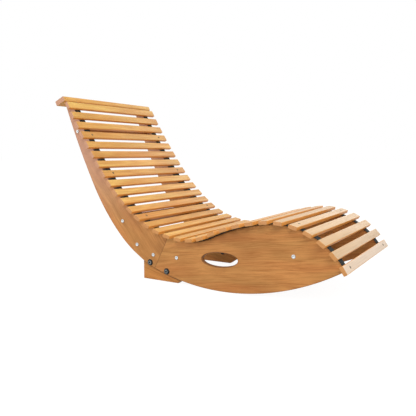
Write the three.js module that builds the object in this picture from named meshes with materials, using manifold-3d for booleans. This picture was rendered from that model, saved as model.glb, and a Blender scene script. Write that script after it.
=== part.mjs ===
// Rocking chaise lounge of wood: thirty slats on two curved side panels.
// Millimetres, +Z up. The head end is towards -X, the foot towards +X, and the
// part is symmetric about the plane Y = 0. It stands on the lowest point of its
// rockers and on the flat feet of two stop blocks.

import * as THREE from 'three';
import Module from 'manifold-3d';
import { mergeVertices } from 'three/addons/utils/BufferGeometryUtils.js';

const wasm = await Module();
wasm.setup();

// Clearances
const fit = 0.3;
const holeClearance = 0.5;
const overrun = 20;

// Deck line: the upper edge of the side panels, a chain of tangent arcs from
// the head end to the foot. It is level at the lowest point of the seat.
const seatLowHeight = 181.5;
const seatLowSetback = 129.3;
const headRadius = 2800;
const headTurn = 7;
const backRadius = 900;
const backTurn = 15;
const hipRadius = 416;
const hipTurn = 38;
const seatRadius = 210;
const seatTurn = 26;
const kneeRadius = 760;
const kneeTurn = 18;
const calfRadius = 289;

// Slats
const slatCount = 30;
const backPitch = 50.4;
const backPitchCount = 12;
const slatLength = 600;
const slatWidth = 32;
const slatThickness = 14;
const slatRound = 2;
const slatEndRound = 1.5;
const headReach = 26;
const footReach = 6;

// Webbing under the slats
const strapWidth = 33;
const strapThickness = 2.5;
const strapEndGap = 1;

// Side panels
const boardThickness = 18;
const boardRound = 4;
const sideOverhang = 51;
const rockerRadius = 905;
const topWidth = 43;
const hipWidth = 149;
const hipStationShare = 0.43;
const rearBulge = 4;
const seamSetback = 109;
const seamLean = 26.6;
const handHoleLength = 155;
const handHoleHeight = 54;
const handHoleRise = 122;
const handHoleSetback = 3;
const handHoleTilt = 3;

// Board across the top of the back
const capWidth = 54;
const capThickness = 22;
const capRound = 3;
const capTilt = 24;
const capFrontOverhang = 8;

// Stop blocks
const stopThickness = 22;
const stopRound = 3.5;
const stopHeight = 124.5;
const stopBehindSeam = 99.5;
const stopAheadOfSeam = 142;
const stopFootLength = 173;
const stopNoseHeight = 45.5;

// Cross rails
const railWidth = 45;
const railThickness = 20;
const railRound = 2;
const headRailStation = 97;
const headRailDepth = 40;
const backRailSetback = 322;
const backRailDepth = 81;
const hipRailSetback = 222.5;
const hipRailDepth = 110.5;
const footRailInset = 198;
const footRailDepth = 97.5;

// Pale bolts at the rails and the blocks
const paleHeadDiameter = 14.5;
const paleHeadHeight = 2.6;
const paleShankDiameter = 6;
const paleBoltDrop = 15;
const paleBoltShares = [0.272, 0.751];
const paleCrownShare = 0.72;
const barrelDiameter = 10;
const barrelLength = 14;
const barrelInset = 30;
const barrelPocketDepth = 17;
const sleeveHeadDiameter = 14;
const sleeveHeadHeight = 2;

// Dark domed bolts at the blocks
const domeDiameter = 26;
const domeHeight = 6;
const darkShankDiameter = 8;
const darkBoltInset = 13;
const darkBoltShares = [0.205, 0.547];
const domeRingShares = [0, 0.35, 0.65, 0.88, 1];
const domeRimShare = 0.17;
const washerDiameter = 18;
const washerThickness = 1.6;
const nutAcrossCorners = 15;
const nutHeight = 6.5;
const nutSides = 6;
const shankTail = 3;

// Facets
const stepsPerSlat = 3;
const shortStepShare = 0.4;
const rockerStepDegrees = 1.5;
const holeSteps = 26;
const roundSteps = 12;

// Colours
const slatWood = { color: 0xe0ae70, roughness: 0.62, metalness: 0 };
const sideWood = { color: 0xc0833f, roughness: 0.58, metalness: 0 };
const blockWood = { color: 0xb47635, roughness: 0.62, metalness: 0 };
const blackWebbing = { color: 0x1b2020, roughness: 0.85, metalness: 0 };
const paleSteel = { color: 0xe4e8ea, roughness: 0.4, metalness: 0.3 };
const darkSteel = { color: 0x14161a, roughness: 0.32, metalness: 0.6 };

// Everything is drawn in the side view: x along the lounger, y up, and z out
// to the right-hand side. One group at the end turns that view upright.
const middle = slatLength / 2 - sideOverhang - boardThickness / 2;
const innerFace = middle - boardThickness / 2;
const outerFace = middle + boardThickness / 2;
const radians = THREE.MathUtils.degToRad;

// Deck line

const deckArcs = [
  { radius: headRadius, turn: radians(headTurn) },
  { radius: backRadius, turn: radians(backTurn) },
  { radius: hipRadius, turn: radians(hipTurn) },
  { radius: seatRadius, turn: radians(seatTurn) },
  { radius: kneeRadius, turn: -radians(kneeTurn) },
  { radius: calfRadius, turn: -radians(180) },
];
const headHeading = -radians(headTurn + backTurn + hipTurn);
const lowStation = deckArcs.slice(0, 3).reduce((sum, arc) => sum + arc.radius * arc.turn, 0);

// Point and heading after walking a distance along the chain from its head end.
// Before the head end the line runs on straight.
function walkDeck(station) {
  let heading = headHeading;
  const point = new THREE.Vector2();
  if (station < 0) {
    point.set(Math.cos(heading), Math.sin(heading)).multiplyScalar(station);
    return { point, heading };
  }
  let left = station;
  for (const arc of deckArcs) {
    const length = arc.radius * Math.abs(arc.turn);
    const part = Math.min(left, length);
    const side = Math.sign(arc.turn);
    const next = heading + side * part / arc.radius;
    point.x += side * arc.radius * (Math.sin(next) - Math.sin(heading));
    point.y += side * arc.radius * (Math.cos(heading) - Math.cos(next));
    heading = next;
    left -= part;
    if (left <= 0) break;
  }
  return { point, heading };
}

const seatLow = new THREE.Vector2(-seatLowSetback, seatLowHeight);
const deckShift = seatLow.clone().sub(walkDeck(lowStation).point);

// A place on the deck line, raised square to it by some height.
function onDeck(station, height) {
  const { point, heading } = walkDeck(station);
  const up = new THREE.Vector2(-Math.sin(heading), Math.cos(heading));
  return point.add(deckShift).addScaledVector(up, height);
}

function deckHeading(station) {
  return walkDeck(station).heading;
}

// First value between two limits where a test turns true.
function firstTrue(test, from, to) {
  const steps = 400;
  const halvings = 50;
  let low = from;
  let high = to;
  for (let i = 1; i <= steps; i++) {
    high = from + (to - from) * i / steps;
    if (test(high)) break;
    low = high;
  }
  for (let i = 0; i < halvings; i++) {
    const mid = (low + high) / 2;
    if (test(mid)) high = mid;
    else low = mid;
  }
  return (low + high) / 2;
}

// Outline of the side panel

const rockerCentre = new THREE.Vector2(0, rockerRadius);

function outsideRocker(point) {
  return point.distanceTo(rockerCentre) > rockerRadius;
}

function onRocker(angle, inset) {
  const radius = rockerRadius - inset;
  return new THREE.Vector2(radius * Math.sin(angle), rockerRadius - radius * Math.cos(angle));
}

function rockerAngle(point) {
  return Math.atan2(point.x - rockerCentre.x, rockerCentre.y - point.y);
}

const topStation = -headReach;
const tipStation = firstTrue((s) => outsideRocker(onDeck(s, 0)), lowStation, lowStation + rockerRadius);
const lastSlatStation = tipStation - footReach;
const hipStation = lastSlatStation * hipStationShare;
const seamStation = lowStation - seamSetback;

// Stations of the slats, also for places between two slats. The slats of the
// back lie a little closer than those of the seat and the legs.
const backSpan = backPitch * backPitchCount;
const legPitch = (lastSlatStation - backSpan) / (slatCount - 1 - backPitchCount);

function slatStation(index) {
  return index < backPitchCount ? index * backPitch : backSpan + (index - backPitchCount) * legPitch;
}

// Width of the back board, from the cap down to the hip.
function backWidth(station) {
  const share = (station - topStation) / (hipStation - topStation);
  const bulge = share < 1 ? rearBulge * Math.sin(Math.PI * share ** 3) : 0;
  return topWidth + (hipWidth - topWidth) * share + bulge;
}

function onRear(station) {
  return onDeck(station, -backWidth(station));
}

// Underside of the cap board: a line through the top of the deck line.
const capAlong = new THREE.Vector2(Math.cos(radians(capTilt)), Math.sin(radians(capTilt)));
const capUp = new THREE.Vector2(-capAlong.y, capAlong.x);
const capSeat = onDeck(topStation, 0);

function underCap(point) {
  return point.clone().sub(capSeat).dot(capUp) < 0;
}

const rearTopStation = firstTrue((s) => underCap(onRear(s)), topStation - topWidth, hipStation);
const rearEndStation = firstTrue((s) => outsideRocker(onRear(s)), hipStation / 2, lowStation);

// Stations along the deck line, shared by the panels and the webbing.
function deckStations(from, to) {
  const step = backPitch / stepsPerSlat;
  const shortest = step * shortStepShare;
  const stations = [];
  for (let i = Math.floor(from / step); slatStation(i / stepsPerSlat) < to - shortest; i++) {
    stations.push(slatStation(i / stepsPerSlat));
  }
  return [from, ...stations.filter((s) => s > from + shortest), to];
}

function panelOutline() {
  const points = deckStations(topStation, tipStation).map((s) => onDeck(s, 0));
  const frontAngle = rockerAngle(onDeck(tipStation, 0));
  const rearAngle = rockerAngle(onRear(rearEndStation));
  const step = radians(rockerStepDegrees);
  const shortest = step * shortStepShare;
  for (let i = Math.floor((frontAngle - shortest) / step); i * step > rearAngle + shortest; i--) {
    points.push(onRocker(i * step, 0));
  }
  const rear = deckStations(rearTopStation, rearEndStation);
  rear.filter((s, i) => i % 2 === 0 || i === rear.length - 1).reverse().forEach((s) => {
    points.push(onRear(s));
  });
  return points;
}

function handHoleOutline() {
  const hole = new THREE.EllipseCurve(
    -handHoleSetback, handHoleRise, handHoleLength / 2, handHoleHeight / 2,
    0, 2 * Math.PI, false, radians(handHoleTilt),
  );
  return hole.getPoints(holeSteps).slice(0, holeSteps);
}

// Solids

function toSolid(geometry) {
  const bare = geometry.clone();
  bare.deleteAttribute('normal');
  bare.deleteAttribute('uv');
  const merged = mergeVertices(bare);
  return new wasm.Manifold(new wasm.Mesh({
    numProp: 3,
    vertProperties: new Float32Array(merged.attributes.position.array),
    triVerts: new Uint32Array(merged.index.array),
  }));
}

function toGeometry(solid) {
  const mesh = solid.getMesh();
  const geometry = new THREE.BufferGeometry();
  geometry.setAttribute('position', new THREE.BufferAttribute(mesh.vertProperties, 3));
  geometry.setIndex(new THREE.BufferAttribute(mesh.triVerts, 1));
  geometry.computeVertexNormals();
  return geometry;
}

// A flat piece: an outline in the side view, centred on z, with rounded edges.
function board(shape, thickness, round, roundingSteps) {
  const geometry = new THREE.ExtrudeGeometry(shape, {
    depth: thickness - 2 * round,
    bevelEnabled: round > 0,
    bevelThickness: round,
    bevelSize: round,
    bevelOffset: -round,
    bevelSegments: roundingSteps,
    curveSegments: 1,
    steps: 1,
  });
  return geometry.translate(0, 0, round - thickness / 2);
}

// Section of a slat, rail or cap: a rectangle with rounded corners.
function roundedSection(width, height, round) {
  const shape = new THREE.Shape();
  const x = width / 2 - round;
  const y = height / 2 - round;
  shape.absarc(x, y, round, 0, Math.PI / 2);
  shape.absarc(-x, y, round, Math.PI / 2, Math.PI);
  shape.absarc(-x, -y, round, Math.PI, 1.5 * Math.PI);
  shape.absarc(x, -y, round, 1.5 * Math.PI, 2 * Math.PI);
  shape.closePath();
  return shape;
}

// A turned piece. The profile is a list of [radius, place along the axis] and
// starts and ends on the axis, which lies along z.
function turned(profile) {
  const points = profile.map(([radius, place]) => new THREE.Vector2(radius, place));
  return new THREE.LatheGeometry(points, roundSteps).rotateX(Math.PI / 2);
}

// A round drill along z, between two places.
function drill(x, y, diameter, from, to) {
  const geometry = new THREE.CylinderGeometry(diameter / 2, diameter / 2, to - from, roundSteps);
  return geometry.rotateX(Math.PI / 2).translate(x, y, (from + to) / 2);
}

// Places of rails, bolts and blocks

const rails = [
  { name: 'head', station: headRailStation, depth: headRailDepth },
  { name: 'back', station: lowStation - backRailSetback, depth: backRailDepth },
  { name: 'hip', station: lowStation - hipRailSetback, depth: hipRailDepth },
  { name: 'foot', station: tipStation - footRailInset, depth: footRailDepth },
].map((rail) => ({
  ...rail,
  place: onDeck(rail.station, -rail.depth),
  heading: deckHeading(rail.station),
}));

const seamTop = onDeck(seamStation, 0);
const paleBoltHeight = stopHeight - paleBoltDrop;
const seamAtBolts = seamTop.x - (seamTop.y - paleBoltHeight) * Math.tan(radians(seamLean));
const stopRear = seamAtBolts - stopBehindSeam;
const stopFront = seamAtBolts + stopAheadOfSeam;
const stopLength = stopFront - stopRear;

const connectors = paleBoltShares.map((share, i) => ({
  name: ['rear', 'front'][i],
  place: new THREE.Vector2(stopRear + stopLength * share, paleBoltHeight),
}));

const darkBolts = darkBoltShares.map((share, i) => {
  const angle = Math.asin((stopRear + stopLength * share) / (rockerRadius - darkBoltInset));
  return { name: ['rear', 'front'][i], place: onRocker(angle, darkBoltInset) };
});

// Side panels: one rounded blank, sawn in two along the seam

const panelShape = new THREE.Shape(panelOutline());
panelShape.holes.push(new THREE.Path(handHoleOutline()));
const blank = toSolid(board(panelShape, boardThickness, boardRound, 2));
const through = boardThickness / 2 + overrun;

function drilledBlank() {
  let solid = blank;
  const paleHole = paleShankDiameter + 2 * holeClearance;
  const darkHole = darkShankDiameter + 2 * holeClearance;
  for (const { place } of [...rails, ...connectors]) {
    solid = solid.subtract(toSolid(drill(place.x, place.y, paleHole, -through, through)));
  }
  for (const { place } of darkBolts) {
    solid = solid.subtract(toSolid(drill(place.x, place.y, darkHole, -through, through)));
  }
  return solid;
}

// A block that takes away all on one side of the seam.
function sawBlock(side, setback) {
  const reach = rockerRadius * 2;
  const geometry = new THREE.BoxGeometry(reach, reach, boardThickness + 2 * overrun);
  geometry.translate(side * (reach / 2 + setback), 0, 0);
  geometry.rotateZ(-radians(seamLean));
  return geometry.translate(seamTop.x, seamTop.y, 0);
}

const drilled = drilledBlank();
const backBoard = toGeometry(drilled.subtract(toSolid(sawBlock(1, -fit / 2))));
const rockerBoard = toGeometry(drilled.subtract(toSolid(sawBlock(-1, -fit / 2))));

// Webbing straps

function strapOutline() {
  const stations = deckStations(topStation + strapEndGap, tipStation - strapEndGap);
  const lower = stations.map((s) => onDeck(s, fit));
  const upper = stations.map((s) => onDeck(s, fit + strapThickness));
  return [...lower, ...upper.reverse()];
}

const strap = board(new THREE.Shape(strapOutline()), strapWidth, 0, 1);

// Slats

const slat = board(
  roundedSection(slatWidth, slatThickness, slatRound), slatLength, slatEndRound, 1,
);

// On a hollow part of the line the edges of a flat slat touch first, so the
// slat lies higher by what the webbing rises there.
function slatLift(station) {
  const { x, y } = onDeck(station, 0);
  const heading = deckHeading(station);
  const up = new THREE.Vector2(-Math.sin(heading), Math.cos(heading));
  const middleOfSlat = new THREE.Vector2(x, y);
  const rise = [-1, 1].map((side) => onDeck(station + side * slatWidth / 2, 0).sub(middleOfSlat).dot(up));
  return Math.max(0, ...rise);
}

// Cap board, stop block, rails

const cap = board(roundedSection(capWidth, capThickness, capRound), slatLength, slatEndRound, 1);

const stopOutline = [
  new THREE.Vector2(stopRear, 0),
  new THREE.Vector2(stopRear + stopFootLength, 0),
  new THREE.Vector2(stopFront, stopNoseHeight),
  new THREE.Vector2(stopFront, stopHeight),
  new THREE.Vector2(stopRear, stopHeight),
];

function stopBlock() {
  let solid = toSolid(board(new THREE.Shape(stopOutline), stopThickness, stopRound, 2));
  const half = stopThickness / 2 + overrun;
  for (const { place } of connectors) {
    const diameter = paleShankDiameter + 2 * holeClearance;
    solid = solid.subtract(toSolid(drill(place.x, place.y, diameter, -half, half)));
  }
  for (const { place } of darkBolts) {
    const diameter = darkShankDiameter + 2 * holeClearance;
    solid = solid.subtract(toSolid(drill(place.x, place.y, diameter, -half, half)));
  }
  return toGeometry(solid);
}

// Rail between the panels, drilled at each end for a bolt and its barrel nut.
const railLength = 2 * (innerFace - fit);

function railSolid() {
  const section = roundedSection(railWidth, railThickness, railRound);
  let solid = toSolid(board(section, railLength, 0, 1));
  const boltHole = paleShankDiameter + 2 * holeClearance;
  const pocket = barrelDiameter + 2 * fit;
  const barrelPlace = railLength / 2 - barrelInset;
  for (const side of [-1, 1]) {
    const inner = side * (barrelPlace - barrelDiameter);
    const outer = side * (railLength / 2 + overrun);
    const hole = drill(0, 0, boltHole, Math.min(inner, outer), Math.max(inner, outer));
    solid = solid.subtract(toSolid(hole));
    const depth = barrelPocketDepth + overrun;
    const pocketDrill = new THREE.CylinderGeometry(pocket / 2, pocket / 2, depth, roundSteps);
    pocketDrill.translate(0, barrelPocketDepth - railThickness / 2 - depth / 2, side * barrelPlace);
    solid = solid.subtract(toSolid(pocketDrill));
  }
  return toGeometry(solid);
}

// Bolts: drawn with the head's underside at z = 0, the head towards +z

function paleHead() {
  const radius = paleHeadDiameter / 2;
  return [
    [0, paleHeadHeight],
    [radius * paleCrownShare, paleHeadHeight],
    [radius, paleHeadHeight / 2],
    [radius, 0],
    [paleShankDiameter / 2, 0],
  ];
}

function railBolt() {
  const reach = boardThickness + fit + barrelInset + fit;
  const shank = paleShankDiameter / 2;
  const bolt = turned([...paleHead(), [shank, -reach - fit], [0, -reach - fit]].reverse());
  const radius = barrelDiameter / 2;
  const barrel = new THREE.CylinderGeometry(radius, radius, barrelLength, roundSteps);
  barrel.translate(0, barrelPocketDepth - railThickness / 2 - fit - barrelLength / 2, -reach);
  return toGeometry(toSolid(bolt).add(toSolid(barrel)));
}

function connectorBolt() {
  const grip = boardThickness + fit + stopThickness + 2 * fit;
  const shank = paleShankDiameter / 2;
  const sleeve = sleeveHeadDiameter / 2;
  const profile = [
    ...paleHead(),
    [shank, -grip],
    [sleeve, -grip],
    [sleeve, -grip - sleeveHeadHeight],
    [0, -grip - sleeveHeadHeight],
  ];
  return toGeometry(toSolid(turned(profile.reverse())));
}

function domedBolt() {
  const grip = boardThickness + fit + stopThickness + 2 * fit;
  const shank = darkShankDiameter / 2;
  const washer = washerDiameter / 2;
  const nutStart = grip + washerThickness;
  const dome = domeRingShares.map((share) => [
    domeDiameter / 2 * share,
    domeHeight * Math.sqrt(1 - share * share * (1 - domeRimShare ** 2)),
  ]);
  const bolt = turned([
    ...dome,
    [domeDiameter / 2, 0],
    [shank, 0],
    [shank, -grip],
    [washer, -grip],
    [washer, -nutStart],
    [shank, -nutStart],
    [shank, -nutStart - nutHeight - shankTail],
    [0, -nutStart - nutHeight - shankTail],
  ].reverse());
  const nutLength = nutHeight + washerThickness / 2;
  const corner = nutAcrossCorners / 2;
  const nut = new THREE.CylinderGeometry(corner, corner, nutLength, nutSides);
  nut.rotateX(Math.PI / 2).translate(0, 0, -nutStart - nutHeight + nutLength / 2);
  return toGeometry(toSolid(bolt).add(toSolid(nut)));
}

// Scene graph

const sideView = new THREE.Group();
sideView.rotation.x = Math.PI / 2;

function addMesh(parent, name, geometry, look, x, y, z, turn = 0) {
  const mesh = new THREE.Mesh(geometry, new THREE.MeshStandardMaterial(look));
  mesh.name = name;
  mesh.position.set(x, y, z);
  mesh.rotation.z = turn;
  parent.add(mesh);
  return mesh;
}

const deck = new THREE.Group();
for (let i = 0; i < slatCount; i++) {
  const station = slatStation(i);
  const height = fit + strapThickness + fit + slatLift(station) + slatThickness / 2;
  const { x, y } = onDeck(station, height);
  const name = `slat_${String(i + 1).padStart(2, '0')}`;
  addMesh(deck, name, slat, slatWood, x, y, 0, deckHeading(station));
}

const capMiddle = capSeat.clone()
  .addScaledVector(capAlong, capFrontOverhang - capWidth / 2)
  .addScaledVector(capUp, fit + capThickness / 2);
addMesh(deck, 'head_cap_board', cap, slatWood, capMiddle.x, capMiddle.y, 0, radians(capTilt));
sideView.add(deck);

const rail = railSolid();
const crossRails = new THREE.Group();
for (const { name, place: spot, heading } of rails) {
  addMesh(crossRails, `rail_${name}`, rail, sideWood, spot.x, spot.y, 0, heading);
}
sideView.add(crossRails);

// Each side group holds the panel, its block, its webbing and its bolts. The
// bolts of the left side are those of the right side, turned to face outwards.
const stop = stopBlock();
const railBoltShape = railBolt();
const connectorShape = connectorBolt();
const domedShape = domedBolt();

for (const [side, sign] of [['right', 1], ['left', -1]]) {
  const group = new THREE.Group();
  addMesh(group, `back_board_${side}`, backBoard, sideWood, 0, 0, sign * middle);
  addMesh(group, `rocker_board_${side}`, rockerBoard, sideWood, 0, 0, sign * middle);
  addMesh(group, `webbing_strap_${side}`, strap, blackWebbing, 0, 0, sign * middle);
  const stopMiddle = innerFace - fit - stopThickness / 2;
  addMesh(group, `stop_block_${side}`, stop, blockWood, 0, 0, sign * stopMiddle);

  const face = sign * (outerFace + fit);
  const flip = sign > 0 ? 0 : Math.PI;
  for (const { name, place: spot, heading } of rails) {
    const holder = new THREE.Group();
    holder.position.set(spot.x, spot.y, face);
    holder.rotation.z = heading;
    const bolt = addMesh(holder, `rail_bolt_${name}_${side}`, railBoltShape, paleSteel, 0, 0, 0);
    bolt.rotation.y = flip;
    group.add(holder);
  }
  for (const { name, place: spot } of connectors) {
    const node = `block_connector_${name}_${side}`;
    const bolt = addMesh(group, node, connectorShape, paleSteel, spot.x, spot.y, face);
    bolt.rotation.y = flip;
  }
  for (const { name, place: spot } of darkBolts) {
    const node = `block_bolt_${name}_${side}`;
    const bolt = addMesh(group, node, domedShape, darkSteel, spot.x, spot.y, face);
    bolt.rotation.y = flip;
  }
  sideView.add(group);
}

// The origin is on the floor, below the middle of the whole length.
const chaise = new THREE.Group();
chaise.add(sideView);
chaise.updateMatrixWorld(true);
const extent = new THREE.Box3().setFromObject(chaise, true);
sideView.position.x = -(extent.min.x + extent.max.x) / 2;
chaise.updateMatrixWorld(true);

export default chaise;
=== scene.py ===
# %% Load the packed model
import itertools
import math

import bmesh
import bpy
import numpy as np
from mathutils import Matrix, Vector
from mathutils.geometry import delaunay_2d_cdt


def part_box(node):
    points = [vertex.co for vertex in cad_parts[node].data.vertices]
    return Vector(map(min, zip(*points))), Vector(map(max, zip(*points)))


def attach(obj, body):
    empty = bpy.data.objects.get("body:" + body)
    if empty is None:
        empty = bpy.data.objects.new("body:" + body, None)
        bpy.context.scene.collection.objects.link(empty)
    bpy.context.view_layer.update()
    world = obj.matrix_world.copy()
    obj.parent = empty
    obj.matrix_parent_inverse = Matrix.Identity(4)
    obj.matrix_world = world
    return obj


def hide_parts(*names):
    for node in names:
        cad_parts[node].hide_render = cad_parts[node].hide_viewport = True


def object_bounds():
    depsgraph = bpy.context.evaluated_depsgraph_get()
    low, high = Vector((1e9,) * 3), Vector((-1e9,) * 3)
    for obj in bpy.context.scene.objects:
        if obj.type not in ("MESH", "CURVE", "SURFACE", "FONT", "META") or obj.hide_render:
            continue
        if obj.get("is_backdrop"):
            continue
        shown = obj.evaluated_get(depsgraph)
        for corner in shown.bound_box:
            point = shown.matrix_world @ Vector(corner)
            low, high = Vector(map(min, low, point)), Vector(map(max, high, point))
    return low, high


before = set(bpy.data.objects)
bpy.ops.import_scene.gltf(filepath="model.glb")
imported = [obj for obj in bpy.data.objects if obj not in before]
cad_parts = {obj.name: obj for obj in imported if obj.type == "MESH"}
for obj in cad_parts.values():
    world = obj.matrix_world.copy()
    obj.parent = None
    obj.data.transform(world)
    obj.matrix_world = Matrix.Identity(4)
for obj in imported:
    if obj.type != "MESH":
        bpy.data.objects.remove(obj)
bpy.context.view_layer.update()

mm = 0.001

# %% [markdown]
# # A rocking lounger of oiled hardwood
#
# The lounger is thirty slats on two tall side boards. Each side is two boards that meet at
# a slanting seam, and its lower edge is one long arc, so the whole thing rocks on it. Nearly
# every wooden piece is the same kind of thing to a modeller: an outline seen from the side,
# carried straight across the lounger, with its edges rounded over. So one function will
# make the slats, the cap board, the side boards and the blocks, and only bolts and the
# webbing need their own.
#
# The loaded model fixes every size and place. This file adds the fine surfaces and the
# finish of each of them.

# %% [markdown]
# ## Camera
#
# The picture was taken from the foot end's right, a little above the seat. A camera stands
# in the scene like any other object. Its turn is given as three angles: 90 degrees about X
# makes it look level, less than that tips it down, and the angle about Z turns it round.

# %% Camera
image_width = 416
focal_in_pixels = 507.55
film_width = 36
level = 90
look_round = 31.18
look_down = 6.19
stand_beside_rocker = 936.2 * mm
stand_off = 1883.3 * mm
eye_height = 523.8 * mm


def points_of(node_name):
    """The corners of a CAD node's mesh as an array with a row for each."""
    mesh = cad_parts[node_name].data
    flat = np.zeros(len(mesh.vertices) * 3)
    mesh.vertices.foreach_get("co", flat)
    return flat.reshape(-1, 3)


def put_in_scene(name, data):
    """Makes an object of a mesh, a camera or a lamp, and links it into the scene."""
    made = bpy.data.objects.new(name, data)
    bpy.context.scene.collection.objects.link(made)
    return made


rocker_points = points_of("rocker_board_right")
contact_x = rocker_points[rocker_points[:, 2].argmin(), 0]

camera_data = bpy.data.cameras.new("camera")
camera_data.sensor_width = film_width
camera_data.lens = focal_in_pixels / image_width * film_width
camera = put_in_scene("camera", camera_data)
camera.location = (contact_x + stand_beside_rocker, -stand_off, eye_height)
camera.rotation_euler = (math.radians(level - look_down), 0, math.radians(look_round))
bpy.context.scene.camera = camera
bpy.context.scene.view_settings.view_transform = "Standard"
print("lens", round(camera_data.lens, 2), "mm, rocker touches the floor at x =", round(contact_x, 4))

# %% [markdown]
# ## Shader sums as Python
#
# A finish is a graph of nodes, and long graphs are hard to read when every link is a line.
# So a small class wraps the output of a node, and adding or multiplying two of them adds
# the Math node that does it. The reflected forms let a plain number stand on the left, as
# in `1 - mask`. Every other kind of node comes from one function, `node`, which takes its
# type without the `ShaderNode` that all types begin with, then the settings, then the
# values or links of its sockets. Colours are written as three numbers everywhere, and
# `node` adds the fourth that a colour socket wants.


# %% Wires between nodes
class Wire:
    """The output of a shader node. Python's operators on it add Math nodes."""

    def __init__(self, tree, socket):
        self.tree = tree
        self.socket = socket

    def math(self, operation, *values):
        """Any operation of the Math node, by its name."""
        return node(self.tree, "Math", {"operation": operation}, dict(enumerate(values)))

    def __add__(self, other):
        return self.math("ADD", self, other)

    def __mul__(self, other):
        return self.math("MULTIPLY", self, other)

    def __sub__(self, other):
        return self.math("SUBTRACT", self, other)

    def __rsub__(self, other):
        return self.math("SUBTRACT", other, self)

    def __gt__(self, other):
        return self.math("GREATER_THAN", self, other)

    def __abs__(self):
        return self.math("ABSOLUTE", self)

    def sine(self):
        """The sine of the wire, which is taken as an angle."""
        return self.math("SINE", self)

    __radd__ = __add__
    __rmul__ = __mul__


def node(tree, kind, settings=(), sockets=(), output=0):
    """Adds one node to a tree, sets it, feeds its sockets, and gives back one output."""
    made = tree.nodes.new("ShaderNode" + kind)
    for name, value in dict(settings).items():
        setattr(made, name, value)
    for name, value in dict(sockets).items():
        socket = made.inputs[name]
        if isinstance(value, Wire):
            tree.links.new(value.socket, socket)
        else:
            socket.default_value = (*value, 1) if socket.type == "RGBA" else value
    return Wire(tree, made.outputs[output]) if made.outputs else None


print("a wire understands:", [name for name, value in vars(Wire).items() if callable(value)])

# %% [markdown]
# A few kinds of node turn up in nearly every finish, so each gets a function of its own: a
# soft step, which makes a mask of a distance, a blend of two colours, sums on vectors, and
# the end that all finishes share, where the colour and a fine relief meet the surface.


# %% Everyday nodes
def smooth_step(wire, low, high):
    """0 up to low, 1 from high on, with a soft rise between them. Low may be the larger one."""
    settings = {"interpolation_type": "SMOOTHSTEP"}
    return node(wire.tree, "MapRange", settings, {0: wire, 1: low, 2: high})


def blend(share, first, second):
    """Mixes two colours by a share between 0 and 1."""
    settings = {"data_type": "RGBA", "clamp_factor": True}
    return node(share.tree, "Mix", settings, {0: share, 6: first, 7: second}, 2)


def with_vector(operation, first, second):
    """Adds a Vector Math node to a wire. The second value may be a plain triple."""
    return node(first.tree, "VectorMath", {"operation": operation}, {0: first, 1: second})


def parts_of(vector):
    """The three components of a vector, each as a wire."""
    return [node(vector.tree, "SeparateXYZ", (), {0: vector}, k) for k in range(3)]


def scaled(colour, share):
    """A colour made darker or lighter by a factor."""
    return tuple(min(1.0, c * share) for c in colour)


def empty_tree(owner):
    """Gives a material or the world a graph with nothing in it."""
    owner.use_nodes = True
    owner.node_tree.nodes.clear()
    return owner.node_tree


def cover(tree, height, strength, depth, **sockets):
    """Ends a graph: a bump of that height and depth, the usual surface shader, the output."""
    bump = node(tree, "Bump", (), {"Height": height, "Strength": strength, "Distance": depth})
    names = {name.replace("_", " "): value for name, value in sockets.items()}
    surface = node(tree, "BsdfPrincipled", (), {"Normal": bump, **names})
    node(tree, "OutputMaterial", (), {"Surface": surface})


print("a third of a pale colour:", scaled((0.9, 0.6, 0.3), 1 / 3))

# %% [markdown]
# ## Wood
#
# Growth rings cut lengthwise show as long lines that wander and sometimes close into
# arches. They can be had from one smooth noise that is stretched along the grain: the
# places where the noise has the same value are long curved lines, so a sine of the value
# draws one ring after another. On top of that come streaks, pores, which are short fine
# dashes, and broad patches where the oil took more or less. The colour itself drifts too,
# a little redder here and a little yellower there.
#
# Each board needs rings of its own. The mesh carries a number for each board, and that
# number is the fourth coordinate of the noise, so boards that share the finish don't share
# the figure.


# %% The grain of a board
pink_tone = (0.62, 0.34, 0.24)
redder = (1.04, 0.94, 0.90)
yellower = (0.98, 1.07, 1.06)
wander_scale = 6.0
ring_count = 55
fibre_width, pore_width, cloud_width = 1.6 * mm, 0.9 * mm, 90 * mm
pore_from, pore_to = 0.13, 0.24
rosy_from, rosy_to = 0.18, 0.58


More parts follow.
